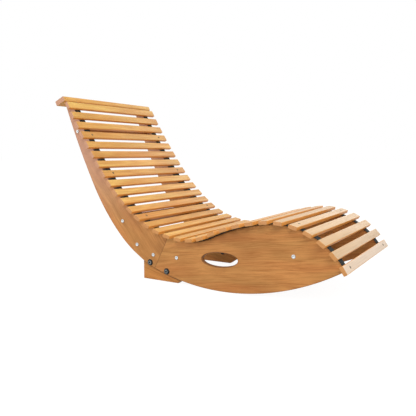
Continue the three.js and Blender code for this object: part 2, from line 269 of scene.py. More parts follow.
class Timber:
    """A wood finish in the making: its graph, and the patterns that all its marks share.

    light and dark are the colours between which the figure varies. along is the axis
    letter of the grain, and turn the angle that brings the grain onto that axis.
    band_width is how wide the broad streaks are, and wave how far they wander.
    """

    def __init__(self, name, light, dark, along, band_width, turn, wave):
        self.finish = bpy.data.materials.new(name)
        self.tree = empty_tree(self.finish)
        self.light, self.dark = light, dark
        self.axis = "XYZ".index(along)
        self.turn = turn
        self.straight = node(self.tree, "TexCoord", output=3)
        self.x, self.y, self.z = parts_of(self.straight)
        self.board = self.mark("board")
        self.place = self.straight
        if wave:
            sockets = {"Vector": self.straight, "W": self.board, "Scale": wander_scale, "Detail": 1.0}
            drift = node(self.tree, "TexNoise", {"noise_dimensions": "4D"}, sockets, 1)
            drift = with_vector("SUBTRACT", drift, (0.5, 0.5, 0.5))
            self.place = with_vector("ADD", self.straight, with_vector("MULTIPLY", drift, (wave,) * 3))
        field = self.noise(band_width * 7, slimness=9, own=3.1)
        self.rings = (field * ring_count + self.board).sine()
        self.bands = self.noise(band_width, slimness=26, own=7.7, detail=2.0)
        self.lines = self.noise(band_width * 0.33, slimness=44, own=5.3, detail=3.0)
        self.fibre = self.noise(fibre_width, slimness=25, own=4.9, detail=2.0)
        self.pores = smooth_step(self.noise(pore_width, slimness=22, own=9.1), pore_from, pore_to)
        self.cloud = self.noise(cloud_width, slimness=2, own=1.7)
        self.hue = self.noise(band_width * 4, slimness=8, own=6.1, detail=2.0)
        dice = node(self.tree, "TexWhiteNoise", {"noise_dimensions": "1D"}, {1: self.board})
        self.board_tone = dice - 0.5
        self.up_high = smooth_step(self.z, rosy_from, rosy_to)
        self.rough = 0.5 + self.pores * 0.2 + self.bands * 0.25

    def mark(self, title):
        """A number that the mesh carries at each of its points."""
        return node(self.tree, "Attribute", {"attribute_name": title}, output=2)

    def noise(self, width, slimness, own, detail=1.0):
        """Streaks of a width, so many times longer than wide, centred on zero."""
        place = self.place
        if self.turn:
            sockets = {"Vector": place, "Rotation": (0, self.turn, 0)}
            place = node(self.tree, "Mapping", {"vector_type": "POINT"}, sockets)
        scales = [1 / width] * 3
        scales[self.axis] /= slimness
        sockets = {"Vector": place, "Scale": scales}
        place = node(self.tree, "Mapping", {"vector_type": "POINT"}, sockets)
        sockets = {"Vector": place, "W": self.board * own, "Scale": 1.0, "Detail": detail}
        return node(self.tree, "TexNoise", {"noise_dimensions": "4D"}, sockets) - 0.5

    def past_arc(self, centre, radius):
        """How far a place lies outside an arc in the side view: |place - centre| - radius."""
        away = with_vector("SUBTRACT", self.straight, (centre[0], 0, centre[1]))
        away = with_vector("MULTIPLY", away, (1, 0, 1))
        return node(self.tree, "VectorMath", {"operation": "LENGTH"}, {0: away}, 1) - radius

    def facing(self):
        """The three components of the direction in which the surface faces."""
        return parts_of(node(self.tree, "NewGeometry", output=1))


print("the sine of the rings turns", round(ring_count / (2 * math.pi), 1), "times for each 1 of the noise")

# %% [markdown]
# The finish itself puts these patterns together. Marks of age and use, and painted light
# and shade, differ from board to board, so each is a function that takes the colour so far
# and gives back a new one, and a finish is told which of them it has. Two marks are on all
# wood, and the mesh says where: rounded edges, which handling has rubbed lighter, and the
# walls of holes, which are darker, partly from oil that the end grain drank and partly as
# painted shade inside the hole.

# %% Wood finish
ring_strength, fibre_strength = 0.16, 0.9
pore_strength, pore_shade = 0.4, 0.5
cloud_base, cloud_strength, cloud_shade = 0.18, 1.6, 0.86
hue_strength = 2.2
rubbed_strength, rubbed_lift = 0.15, 1.1
bore_strength, bore_shade = 0.75, 0.45
relief_strength, relief_depth = 0.3, 0.5 * mm


def wood(name, light, dark, along, band_width, turn=0.0, wave=0.0, broad=1.7, fine=1.5, tone=0.45,
         marks=(), coat=0.0, shine=0.25):
    """A finish for boards whose grain runs along one axis.

    The first values are those of Timber. broad and fine are how strong the broad and the
    fine streaks are, tone how much boards differ, and marks the functions that change the
    colour, in their order. coat and shine are the gloss of the oil.
    """
    timber = Timber(name, light, dark, along, band_width, turn, wave)
    figure = timber.rings * ring_strength + timber.bands * broad + timber.lines * fine
    timber.share = figure + timber.fibre * fibre_strength + timber.board_tone * tone
    colour = blend(timber.share + 0.5, light, dark)
    colour = blend(timber.pores * pore_strength, colour, scaled(dark, pore_shade))
    colour = blend(cloud_base + timber.cloud * cloud_strength, colour, scaled(dark, cloud_shade))
    colour = with_vector("MULTIPLY", colour, blend(timber.hue * hue_strength + 0.5, redder, yellower))
    for mark in marks:
        colour = mark(timber, colour)
    colour = blend(timber.mark("edge") * rubbed_strength, colour, scaled(light, rubbed_lift))
    # Hole walls darker: partly end grain, partly painted shade inside the hole.
    colour = blend(timber.mark("bore") * bore_strength, colour, scaled(dark, bore_shade))
    relief = timber.fibre * 0.6 + timber.rings * 0.1 - timber.pores * 0.5
    cover(timber.tree, relief, relief_strength, relief_depth, Base_Color=colour, Roughness=timber.rough,
          IOR=1.46, Specular_IOR_Level=shine, Coat_Weight=coat, Coat_Roughness=0.28)
    return timber.finish


print("the fibres are raised by at most", relief_depth / mm, "mm")

# %% [markdown]
# The slats show two things. Their tops get a painted sheen, pale where a face looks up and most of all toward
# the foot end, and their flanks get a painted orange shade. And their ends are end grain: speckled instead of
# streaked, duller, and rosy up at the head, where weather has got in.

# %% Finishes of the slats
# Colours and masks of the painted sheen on the slats' tops and of the painted shade on their flanks.
sheen_tone = (0.76, 0.505, 0.275)
sheen_tip = (0.96, 0.74, 0.55)
flank_shade_tone = (0.83, 0.36, 0.075)
sheen_from, sheen_to = -0.16, 0.40
tip_from, tip_to = 0.61, 0.625
upward_from, upward_to = 0.1, 0.45
speck_width = 1.5 * mm
cut_light, cut_dark = (0.66, 0.32, 0.11), (0.50, 0.21, 0.06)


def painted_sheen_and_flank_shade(timber, colour):
    """Painted sheen, pale where a face looks up and lies toward the foot, and painted orange shade on the
    flanks.
    """
    upward = smooth_step(timber.facing()[2], upward_from, upward_to)
    sheen_share = smooth_step(timber.x, sheen_from, sheen_to) * upward
    pale = blend(smooth_step(timber.x, tip_from, tip_to), sheen_tone, sheen_tip)
    streak = with_vector("MULTIPLY", pale, (0.8, 0.8, 0.8))
    pale = blend(timber.share * 0.5 + 0.4, pale, streak)
    colour = blend(sheen_share * (1.0 + timber.board_tone * 0.5), colour, pale)
    return blend(timber.mark("flank") * 0.9, colour, flank_shade_tone)


def end_grain(half_length):
    """End grain on what lies farther out along Y than half the length of a slat."""
    def mark(timber, colour):
        ends = abs(timber.y) > half_length
        specks = timber.noise(speck_width, slimness=1, own=4.3, detail=2.0)
        cut = blend(specks * 2 + 0.5, cut_light, cut_dark)
        cut = blend(timber.up_high * 0.75, cut, scaled(pink_tone, 0.86))
        timber.rough = timber.rough + ends * 0.2
        return blend(ends, colour, cut)
    return mark


slat_marks = [painted_sheen_and_flank_shade, end_grain(298.6 * mm)]
slat_look = dict(broad=1.4, fine=2.6, tone=0.4, marks=slat_marks, coat=0.1, shine=0.35)
slat_light, slat_dark = (0.93, 0.56, 0.155), (0.70, 0.325, 0.07)
warm_light, warm_dark = (0.85, 0.465, 0.12), (0.63, 0.27, 0.055)
slat_finish = wood("oiled_slat_wood", slat_light, slat_dark, "Y", 9 * mm, **slat_look)
warm_finish = wood("oiled_warm_wood", warm_light, warm_dark, "Y", 9 * mm, **slat_look)
print("slat finishes:", slat_finish.name, "and", warm_finish.name)

# %% [markdown]
# ## Metal
#
# The pale bolts are zinc plated: metal, softly clouded. The domed bolts are painted black,
# and their crowns get a painted grey highlight, where the mesh carries the same mark as the
# rounded edges of wood.

# %% Metal finishes
speckle_scale, stain_scale = 900.0, 160.0
stain_from, stain_to = 0.45, 0.75
stain_strength, stain_shade = 0.6, 0.72


def metal(name, colour, roughness, metallic, highlight_colour=None, shine=0.5):
    """A plated or painted metal whose gloss is uneven at a small scale.

    highlight_colour is the colour of a painted highlight that shows where the mesh carries the edge mark.
    """
    finish = bpy.data.materials.new(name)
    tree = empty_tree(finish)
    place = node(tree, "TexCoord", output=3)
    fine = node(tree, "TexNoise", (), {"Vector": place, "Scale": speckle_scale, "Detail": 2.0})
    cloud = node(tree, "TexNoise", (), {"Vector": place, "Scale": stain_scale, "Detail": 3.0})
    dull = smooth_step(cloud, stain_from, stain_to)
    plate = blend(dull * stain_strength, colour, scaled(colour, stain_shade))
    if highlight_colour:
        # On a domed bolt's crown this mark shows a painted highlight.
        rubbed = node(tree, "Attribute", {"attribute_name": "edge"}, output=2)
        plate = blend(rubbed * (0.6 + dull * 0.4), plate, highlight_colour)
    cover(tree, fine, 0.15, 0.1 * mm, Base_Color=plate, Roughness=roughness + fine * 0.1 + dull * 0.12,
          Metallic=metallic, Specular_IOR_Level=shine)
    return finish


pale_finish = metal("zinc_plate", (0.57, 0.60, 0.61), 0.34, 0.8)
dark_finish = metal("black_paint", (0.008, 0.010, 0.010), 0.25, 0.0, highlight_colour=(0.22, 0.24, 0.24), shine=0.2)
screw_finish = metal("brown_plate", (0.12, 0.085, 0.045), 0.45, 0.6)
print("metals:", [finish.name for finish in (pale_finish, dark_finish, screw_finish)])

# %% [markdown]
# ## Woven tape
#
# The webbing is black and woven. Its weave is two crossing rows of ribs, each of them a
# sine, and one of them is broken up by a slanting third row, as in a twill. The pattern
# must bend with the tape, so it follows a UV map that the tape gets later.

# %% Webbing finish
rib_across, rib_along, twill = 2.4 * mm, 1.5 * mm, 4.8 * mm
fluff_scale = 1400.0
tape_dark, tape_light = (0.006, 0.009, 0.009), (0.04, 0.05, 0.05)


def ribs(wire, width):
    """Rows of ribs of a width, as a height between 0 and 1: (1 + sine) / 2."""
    return (wire * (2 * math.pi / width)).sine() * 0.5 + 0.5


def woven(name):
    """Black woven tape. U runs across the tape and V along it, both in metres."""
    finish = bpy.data.materials.new(name)
    tree = empty_tree(finish)
    tape = node(tree, "UVMap", {"uv_map": "tape"})
    u, v, _ = parts_of(tape)
    weave = ribs(u, rib_across) * 0.6 + ribs(v, rib_along) * ribs(u + v * 0.5, twill)
    fluff = node(tree, "TexNoise", (), {"Vector": tape, "Scale": fluff_scale, "Detail": 2.0})
    colour = blend(weave * 0.6 + fluff * 0.4, tape_dark, tape_light)
    cover(tree, weave, 0.6, 0.3 * mm, Base_Color=colour, Roughness=0.62 + fluff * 0.2,
          Specular_IOR_Level=0.15)
    return finish


tape_finish = woven("black_webbing")
print("nodes in the webbing's graph:", len(tape_finish.node_tree.nodes))

# %% [markdown]
# ## Collecting points and faces
#
# A mesh in Blender is a list of points, the corners of each face, and flags. The class below
# collects blocks of them as arrays while a piece is worked out, and hands them to Blender
# at once. It also makes sure that the faces look outwards: the volume that they enclose,
# summed over triangles, must not be negative.
#
# Each point can carry three marks for the finishes: how rubbed it is, which on a domed bolt
# marks its painted highlight instead, whether it is on the wall of a hole, which gets partly
# painted shade, and whether it is on the flank of a slat, which gets painted shade.


# %% Collecting a piece
class Shell:
    """The points, marks and faces of one closed surface."""

    def __init__(self):
        self.points = []
        self.marks = {"edge": [], "bore": [], "flank": []}
        self.faces = []
        self.count = 0

    def add_points(self, grid, **marks):
        """Adds an array of points and returns their running numbers, in its shape."""
        grid = np.asarray(grid, float)
        shape = grid.shape[:-1]
        numbers = self.count + np.arange(math.prod(shape)).reshape(shape)
        self.points.append(grid.reshape(-1, 3))
        for title, blocks in self.marks.items():
            blocks.append(np.broadcast_to(marks.get(title, 0.0), shape).reshape(-1).astype(float))
        self.count += numbers.size
        return numbers

    def add_faces(self, corners, smooth=True):
        """Adds faces that all have as many corners as the array has columns."""
        self.faces.append((np.asarray(corners), smooth))

    def add_rows(self, numbers):
        """Joins each row of a grid to the next one. Rows are closed loops."""
        here, after = numbers[:-1], numbers[1:]
        quads = np.stack([here, after, np.roll(after, -1, 1), np.roll(here, -1, 1)], -1)
        self.add_faces(quads.reshape(-1, 4))

    def add_tube(self, grid, **marks):
        """Adds rows of points as a tube with a flat face at each end, and turns it outwards."""
        numbers = self.add_points(grid, **marks)
        self.add_rows(numbers)
        self.add_faces(numbers[:1, ::-1], False)
        self.add_faces(numbers[-1:], False)
        return self.face_outwards()

    def volume(self):
        """The enclosed volume: a sixth of the sum of triple products over a fan of each face."""
        points = np.concatenate(self.points)
        total = 0.0
        for corners, _ in self.faces:
            first = points[corners[:, 0]]
            for k in range(1, corners.shape[1] - 1):
                second, third = points[corners[:, k]], points[corners[:, k + 1]]
                total += np.einsum("ij,ij->", first, np.cross(second, third))
        return total / 6

    def face_outwards(self):
        """Turns all faces round if they enclose less than nothing."""
        if self.volume() < 0:
            self.faces = [(corners[:, ::-1], smooth) for corners, smooth in self.faces]
        return self

    def join(self, other):
        """Takes in another closed surface, which may lie apart from this one."""
        self.faces += [(corners + self.count, smooth) for corners, smooth in other.faces]
        self.points += other.points
        for title, blocks in self.marks.items():
            blocks += other.marks[title]
        self.count += other.count
        return self

    def mesh(self, name):
        """Writes everything into a new mesh."""
        mesh = bpy.data.meshes.new(name)
        faces = [face for corners, _ in self.faces for face in corners.tolist()]
        mesh.from_pydata(np.concatenate(self.points), [], faces)
        smooth = np.concatenate([np.full(len(corners), flag) for corners, flag in self.faces])
        mesh.polygons.foreach_set("use_smooth", smooth)
        for title, blocks in self.marks.items():
            values = np.concatenate(blocks).astype(np.float32)
            mesh.attributes.new(title, "FLOAT", "POINT").data.foreach_set("value", values)
        mesh.validate()
        return mesh


print("marks that a point carries:", list(Shell().marks))

# %% [markdown]
# A finished mesh still has to become a piece of the lounger. It gets a number of its own,
# which the wood finishes read, then its finish and its place in the scene, and the packed
# node that it stands for is hidden.

# %% Putting a piece into the scene
board_numbers = itertools.count(1)


def install(name, mesh, finish, slot, *node_names):
    """Puts a mesh into the scene as the piece that stands for one or more CAD nodes."""
    own = np.full(len(mesh.vertices), float(next(board_numbers)), np.float32)
    mesh.attributes.new("board", "FLOAT", "POINT").data.foreach_set("value", own)
    mesh.materials.append(finish)
    piece = put_in_scene(name, mesh)
    if node_names:
        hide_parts(*node_names)
    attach(piece, "root")
    return piece


print("packed nodes to stand for:", len(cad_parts))

# %% [markdown]
# ## Outlines
#
# Nearly every piece starts as an outline in the plane of X and Z. Two things are done with
# outlines. One is to draw them in by a distance: each point moves along the mean of its two
# edge normals, stretched so that both edges move by the same amount. The other is to fill
# the flat between them with triangles. A Delaunay triangulation does that and keeps the
# outlines as edges. It fills holes too, so a triangle stays only if its middle has an odd
# number of outline crossings to one side.


# %% Drawing in and filling
def drawn_in(loop, inset):
    """A closed outline, counter-clockwise, moved inwards by a distance.

    Point + inset * (n1 + n2) / (1 + n1.n2), with n1 and n2 the normals of its two edges.
    """
    step = np.roll(loop, -1, 0) - loop
    step /= np.linalg.norm(step, axis=1, keepdims=True)
    after = np.stack([-step[:, 1], step[:, 0]], 1)
    before = np.roll(after, 1, 0)
    miter = (before + after) / (1 + (before * after).sum(1, keepdims=True))
    return loop + inset * miter


def crossings(points, loop):
    """How many edges of a closed loop lie straight to the right of each point."""
    x, z = points[:, :1], points[:, 1:]
    a, b = loop, np.roll(loop, -1, 0)
    spans = (a[:, 1] > z) != (b[:, 1] > z)
    rise = np.where(b[:, 1] == a[:, 1], 1.0, b[:, 1] - a[:, 1])
    meets = a[:, 0] + (z - a[:, 1]) * (b[:, 0] - a[:, 0]) / rise
    return (spans & (meets > x)).sum(1)


def fill(loops):
    """Triangles between closed loops, as numbers into the loops laid end to end."""
    points = np.concatenate(loops)
    starts = np.cumsum([0] + [len(loop) for loop in loops])
    edges = []
    for start, loop in zip(starts, loops):
        run = start + np.arange(len(loop))
        edges += np.stack([run, np.roll(run, -1)], 1).tolist()
    made = delaunay_2d_cdt([Vector(p) for p in points], edges, [], 0, 1e-9)
    origin = np.array([found[0] for found in made[3]])
    triangles = origin[np.array(made[2])]
    middles = points[triangles].mean(1)
    inside = sum(crossings(middles, loop) for loop in loops) % 2 == 1
    return triangles[inside]


square = np.array([[0, 0], [1, 0], [1, 1], [0, 1]], float)
print("a unit square drawn in by 0.1:", drawn_in(square, 0.1).round(3).tolist())

# %% [markdown]
# ## One function for every wooden piece
#
# An outline is carried along Y, and the two ends of that way are rounded over as a router
# would do it: the outline starts drawn in by the radius, swells along a quarter circle to
# its full size, runs straight, and draws in again. Holes are treated in the same way and
# run clockwise, so that drawing them in makes them wider.


# %% Boards
def round_over(width, radius, steps):
    """Insets and places of the way across: quarter circle, straight, quarter circle.

    inset = r (1 - sin a), place = w/2 - r (1 - cos a), for a from 0 to 90 degrees. With
    them come marks that are 1 in the middle of each rounding and 0 at its ends: sin 2a.
    """
    a = np.linspace(0, math.pi / 2, steps + 1)
    inset = radius * (1 - np.sin(a))
    place = width / 2 - radius * (1 - np.cos(a))
    worn = np.sin(2 * a)
    return np.r_[inset, inset[::-1]], np.r_[place, -place[::-1]], np.r_[worn, worn[::-1]]


def board(loops, width, radii, middle, worn=0.0, flank=0.0, steps=6):
    """A closed surface: outlines in the side view carried across the lounger.

    loops holds the outer outline, counter-clockwise, and then the holes, clockwise.
    radii holds the rounding of each loop, and middle is the Y of the piece's middle.
    worn and flank are marks for the points of the outer outline, if it has its own.
    """
    shell = Shell()
    fronts = []
    backs = []
    flats = []
    for k, loop in enumerate(loops):
        inset, place, rubbed = round_over(width, radii[k], steps)
        rings = np.stack([drawn_in(loop, x) for x in inset])
        across = np.broadcast_to(middle - place[:, None], rings.shape[:2])
        grid = np.stack([rings[..., 0], across, rings[..., 1]], -1)
        wall = np.zeros(len(inset))
        wall[1:-1] = k > 0
        edge = np.maximum(rubbed[:, None], worn)
        numbers = shell.add_points(grid, edge=edge, bore=wall[:, None], flank=flank)
        shell.add_rows(numbers)
        fronts.append(numbers[0])
        backs.append(numbers[-1])
        flats.append(rings[0])
    triangles = fill(flats)
    shell.add_faces(np.concatenate(fronts)[triangles], False)
    shell.add_faces(np.concatenate(backs)[triangles][:, ::-1], False)
    return shell.face_outwards()


print("a unit cube with its ends rounded holds", round(board([square], 1, [0.1], 0).volume(), 3))

# %% [markdown]
# ## Where the straight pieces lie
#
# Slats, the cap board and the rails are boxes that lean. Their place in the side view needs
# a centre, a heading and two half sizes. All four can be measured on the packed piece: the
# corners of its end faces are a small cloud of points, and the direction in which a cloud
# spreads the most is the eigenvector of the largest eigenvalue of its spread.


# %% Straight pieces
def rounded_box(width, height, radius, steps=5):
    """A rectangle with round corners round the origin, counter-clockwise.

    With it come two marks for its points: how rubbed they are, which is the most in the
    middle of a corner, and how far they are on a flank, which is |cos| of their direction.
    """
    a = np.linspace(0, math.pi / 2, steps + 1)
    corners = []
    flank = []
    for quarter, (sx, sz) in enumerate([(1, 1), (-1, 1), (-1, -1), (1, -1)]):
        turn = a + quarter * math.pi / 2
        middle = np.array([sx * (width / 2 - radius), sz * (height / 2 - radius)])
        corners.append(middle + radius * np.stack([np.cos(turn), np.sin(turn)], 1))
        flank.append(np.abs(np.cos(turn)))
    return np.concatenate(corners), np.tile(np.sin(2 * a), 4), np.concatenate(flank)


def turned_to(loop, centre, heading):
    """An outline turned by an angle and moved to a place in the side view."""
    c, s = math.cos(heading), math.sin(heading)
    return loop @ np.array([[c, s], [-s, c]]) + centre


def section_of(node_name):
    """Centre, heading and half sizes of a straight piece, and how far it reaches along Y.

    The loaded mesh repeats a point for each face at it, so every place is counted once.
    """
    points = np.unique(points_of(node_name).round(6), axis=0)
    reach = np.abs(points[:, 1]).max()
    ends = np.unique(points[np.abs(points[:, 1]) > 0.999 * reach][:, [0, 2]], axis=0)
    centre = (ends.max(0) + ends.min(0)) / 2
    spread = ends - centre
    _, axes = np.linalg.eigh(spread.T @ spread)
    long = axes[:, 1] * np.sign(axes[0, 1])
    flat = points[:, [0, 2]] - centre
    half = (np.abs(flat @ long).max(), np.abs(flat @ np.array([-long[1], long[0]])).max())
    return centre, math.atan2(long[1], long[0]), half, reach


print("first slat, centre and heading:", *section_of("slat_01")[:2])

# %% [markdown]
# ## Slats and the cap board
#
# A slat is a rounded rectangle that runs the whole width of the lounger. Its centre, its
# slope and its size are read from the packed model, so it can't be anywhere else. What is
# new is the true quarter circle along each edge and at each end. The packed edges are two
# flats instead of an arc, so the arc here has a slightly larger radius: it touches those
# flats from within and never passes them. A few of the slats were cut from a warmer plank,
# which shows best on the back, where they lie between paler ones.

# %% Slats
slat_round = 2.5 * mm
slat_end_round = 1.5 * mm
cap_round = 3.75 * mm
end_steps = 3
slat_names = sorted(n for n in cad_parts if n.startswith("slat_"))
warm_slats = (4, 6, 8, 12, 13, 14)


def laid_across(node_name, radius, flank_share):
    """A straight piece with rounded edges and ends, where its CAD node lies."""
    centre, heading, half, reach = section_of(node_name)
    loop, worn, flank = rounded_box(2 * half[0], 2 * half[1], radius)
    loop = turned_to(loop, centre, heading)
    return board([loop], 2 * reach, [slat_end_round], 0, worn, flank * flank_share, end_steps)


for number, slat_name in enumerate(slat_names, 1):
    mesh = laid_across(slat_name, slat_round, 1).mesh(slat_name)
    finish = warm_finish if number in warm_slats else slat_finish
    install(slat_name.replace("slat", "slat_board"), mesh, finish, "slat_wood", slat_name)
cap_mesh = laid_across("head_cap_board", cap_round, 0).mesh("cap_board")
install("cap_board", cap_mesh, slat_finish, "slat_wood", "head_cap_board")
print(len(slat_names), "slats of", len(mesh.polygons), "faces each, and the cap board")

# %% [markdown]
# ## The deck line
#
# The upper edge of each side is a chain of arcs that touch each other: nearly straight at
# the head, tighter down to the seat, tightest just past its lowest place, and then bent the
# other way over the knees. A place along such a chain has a closed form. Each arc adds the
# way that was walked on it, which is the difference of sines and cosines of the heading
# before and after. An arc that isn't reached yet adds nothing, because the way on it is
# clipped to nothing. The last arc is longer than it needs to be and is cut off where it
# meets the rocker.

# %% Deck line
deck_radii = np.array([2800, 900, 416, 210, 760, 289]) * mm
deck_turns = np.radians([7, 15, 38, 26, -18, -180])
seat_low = np.array([contact_x - 129.3 * mm, 181.5 * mm])
bends = np.sign(deck_turns) / deck_radii
lengths = deck_radii * np.abs(deck_turns)
begins = np.cumsum(lengths) - lengths
first_headings = -deck_turns[:3].sum() + np.cumsum(deck_turns) - deck_turns
low_station = lengths[:3].sum()


def walk(stations):
    """Points and headings of the chain at an array of distances from its head end."""
    stations = np.asarray(stations, float)
    part = np.clip(stations[:, None] - begins, 0, lengths)
    turned = first_headings + bends * part
    x = ((np.sin(turned) - np.sin(first_headings)) / bends).sum(1)
    z = ((np.cos(first_headings) - np.cos(turned)) / bends).sum(1)
    before = np.minimum(stations, 0)
    x = x + before * math.cos(first_headings[0])
    z = z + before * math.sin(first_headings[0])
    heading = first_headings[0] + (bends * part).sum(1)
    return np.stack([x, z], 1), heading


deck_shift = seat_low - walk([low_station])[0][0]


def on_deck(stations, height):
    """Places on the deck line, raised square to it by a height."""
    points, heading = walk(stations)
    up = np.stack([-np.sin(heading), np.cos(heading)], 1)
    return points + deck_shift + np.broadcast_to(height, heading.shape)[:, None] * up


print("the deck line is lowest", round(low_station, 3), "m from its head end")

# %% [markdown]
# ## The outline of a side
#
# The rocker's arc closes the outline below, and the back board narrows from the hip to the
# cap. Where two of these lines meet is found by testing many places along one of them and
# keeping the first that has passed the other.

# %% Where the edges of a side meet
rocker_radius = 905 * mm
top_width = 43 * mm
hip_width = 149 * mm
hip_share = 0.43
rear_bulge = 4 * mm
head_reach = 26 * mm
foot_reach = 6 * mm
cap_tilt = math.radians(24)
tested_places = 40001
rocker_centre = np.array([contact_x, rocker_radius])


def first_true(test, low, high):
    """The first of many stations between two limits at which a test holds."""
    stations = np.linspace(low, high, tested_places)
    return stations[np.argmax(test(stations))]


def outside_rocker(points):
    """Which points have passed the rocker's arc."""
    return np.linalg.norm(points - rocker_centre, axis=1) > rocker_radius


top_station = -head_reach
tip_station = first_true(lambda s: outside_rocker(on_deck(s, 0)), low_station, low_station + rocker_radius)
hip_station = (tip_station - foot_reach) * hip_share


def on_rear(stations):
    """The rear edge: the deck line moved down by a width that grows to the hip.

    width = top + (hip - top) s + bulge sin(pi s^3), with s the share of the way to the hip.
    """
    share = (stations - top_station) / (hip_station - top_station)
    bulge = np.where(share < 1, rear_bulge * np.sin(math.pi * np.clip(share, 0, 1) ** 3), 0)
    return on_deck(stations, -(top_width + (hip_width - top_width) * share + bulge))


cap_seat = on_deck([top_station], 0)[0]
cap_up = np.array([-math.sin(cap_tilt), math.cos(cap_tilt)])
rear_top = first_true(lambda s: (on_rear(s) - cap_seat) @ cap_up < 0, top_station - top_width, hip_station)
rear_end = first_true(lambda s: outside_rocker(on_rear(s)), hip_station / 2, low_station)
print("the rear edge runs from station", round(rear_top, 3), "to", round(rear_end, 3))

# %% [markdown]
# With the ends known, the three edges are divided into even steps and laid end to end,
# counter-clockwise: the rocker's arc, the deck line from the foot to the head, and the rear
# edge. The finished outline is set against the packed boards: of their corners, those along
# the edge must lie close to it, and the rest belong to the holes and the seam.

# %% Outline of a side
outline_step = 6 * mm
close_by = 5 * mm


def evenly(low, high, step):
    """Places from one limit to the other, about a step apart."""
    return np.linspace(low, high, max(2, round(abs(high - low) / step) + 1))


def rocker_angle(point):
    """The angle of a point about the rocker's centre, from straight down."""
    return math.atan2(point[0] - contact_x, rocker_radius - point[1])


arc_begin = rocker_angle(on_rear(np.array([rear_end]))[0])
arc_end = rocker_angle(on_deck([tip_station], 0)[0])
angles = evenly(arc_begin, arc_end, outline_step / rocker_radius)
arc = rocker_centre + rocker_radius * np.stack([np.sin(angles), -np.cos(angles)], 1)
deck_edge = on_deck(evenly(tip_station, top_station, outline_step), 0)
rear_edge = on_rear(evenly(rear_top, rear_end, outline_step))
side_outline = np.concatenate([arc[:-1], deck_edge, rear_edge[:-1]])
print("side outline:", len(side_outline), "points")

for node_name in ("rocker_board_right", "back_board_right"):
    corners = points_of(node_name)[:, [0, 2]]
    gaps = np.linalg.norm(corners[:, None] - side_outline, axis=2).min(1)
    print(node_name, "corners near the outline:", (gaps < close_by).sum(), "of", len(corners))

# %% [markdown]
# ## Holes
#
# The blank of a side gets its hand hole and its bolt holes before it is sawn in two, as a
# joiner would do it. The hand hole is an oval, tilted a little. The bolts sit where the
# packed ones do: on the lines of the four rails, and through the block.

# %% Holes
side_thickness = 18 * mm
hand_hole_length = 155 * mm
hand_hole_height = 54 * mm
hand_hole_rise = 122 * mm
hand_hole_setback = 3 * mm
hand_hole_tilt = math.radians(3)
hand_hole_points, bolt_hole_points = 96, 20
pale_hole, dark_hole = 3.5 * mm, 4.5 * mm
rail_names = ["rail_head", "rail_back", "rail_hip", "rail_foot"]


def middle_of(node_name):
    """The middle of the box round a CAD node."""
    low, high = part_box(node_name)
    return (np.array(low) + np.array(high)) / 2


def ellipse(centre, half_length, half_height, tilt, count):
    """A clockwise ellipse, as a hole in a board needs it."""
    a = -np.linspace(0, 2 * math.pi, count, endpoint=False)
    loop = np.stack([half_length * np.cos(a), half_height * np.sin(a)], 1)
    return turned_to(loop, centre, tilt)


def block_places(kind):
    """Where the two fasteners of a kind go through the block, in the side view."""
    return {f"{kind}_{end}": middle_of(f"{kind}_{end}_right")[[0, 2]] for end in ("rear", "front")}


side_middles = {side: middle_of(f"rocker_board_{side}")[1] for side in ("right", "left")}
rail_places = {name: section_of(name)[0] for name in rail_names}
connector_places = block_places("block_connector")
dark_places = block_places("block_bolt")
hand_place = (contact_x - hand_hole_setback, hand_hole_rise)
half_length, half_height = hand_hole_length / 2, hand_hole_height / 2
hand_hole = ellipse(hand_place, half_length, half_height, hand_hole_tilt, hand_hole_points)
bolt_holes = []
for places, size in ((rail_places, pale_hole), (connector_places, pale_hole), (dark_places, dark_hole)):
    bolt_holes += [ellipse(place, size, size, 0, bolt_hole_points) for place in places.values()]
print("side boards lie at Y =", {side: round(y, 4) for side, y in side_middles.items()})

# %% [markdown]
# ## The seam
#
# Both halves of a side come from one blank, so they share one round-over, and the seam
# stays a hair open. `bisect_plane` saws a mesh: it splits every face that the plane crosses
# and can throw away one side. The cut is open then, and one flat face closes it.

# %% Sawing along the seam
fit = 0.3 * mm
seam_lean = math.radians(26.6)
seam_setback = 109 * mm
seam_top = on_deck([low_station - seam_setback], 0)[0]
seam_normal = np.array([math.cos(seam_lean), -math.sin(seam_lean)])


def sawn(mesh, side):
    """Keeps what lies on one side of the seam and closes the cut with a flat face."""
    work = bmesh.new()
    work.from_mesh(mesh)
    spot = seam_top + side * seam_normal * fit / 2
    cut = bmesh.ops.bisect_plane(
        work, geom=work.verts[:] + work.edges[:] + work.faces[:], dist=1e-7,
        plane_co=(spot[0], 0, spot[1]), plane_no=(seam_normal[0], 0, seam_normal[1]),
        clear_inner=side > 0, clear_outer=side < 0,
    )
    rim = [e for e in cut["geom_cut"] if isinstance(e, bmesh.types.BMEdge)]
    for face in bmesh.ops.edgeloop_fill(work, edges=rim)["faces"]:
        face.smooth = False
    bmesh.ops.recalc_face_normals(work, faces=work.faces)
    half = bpy.data.meshes.new(mesh.name)
    work.to_mesh(half)
    work.free()
    return half


print("the seam starts at", seam_top.round(3).tolist(), "on the deck line")

# %% [markdown]
# ## Marks of use, and painted shade, on the sides
#
# High up the back boards turn rosy. Beside the seam the back board is darker and its figure
# curls, as wood does near a knot, and the joint itself shows as a thin dark line. Down the
# lower back the slats stand over the face of the board, and just under the webbing a deep
# shade is painted on. Where a block's outer face comes out under the rocker, the shade of
# the crease under the board is painted on too, and the block's ends are dark end grain. All
# these places lie along lines that the outline already uses, so each mark is a soft step of
# the distance from such a line.

# %% Marks on the sides
seam_shade, joint_shade = 0.78, 0.45
joint_from, joint_to = 2.6 * mm, 0.4 * mm
past_joint = 2 * mm
knot_low, knot_high = 0.08, 0.17
# Where the painted shade under the webbing lies, and how dark it is.
tape_from, tape_to = 19 * mm, 13 * mm
tape_fade, tape_shade = 30 * mm, 0.1
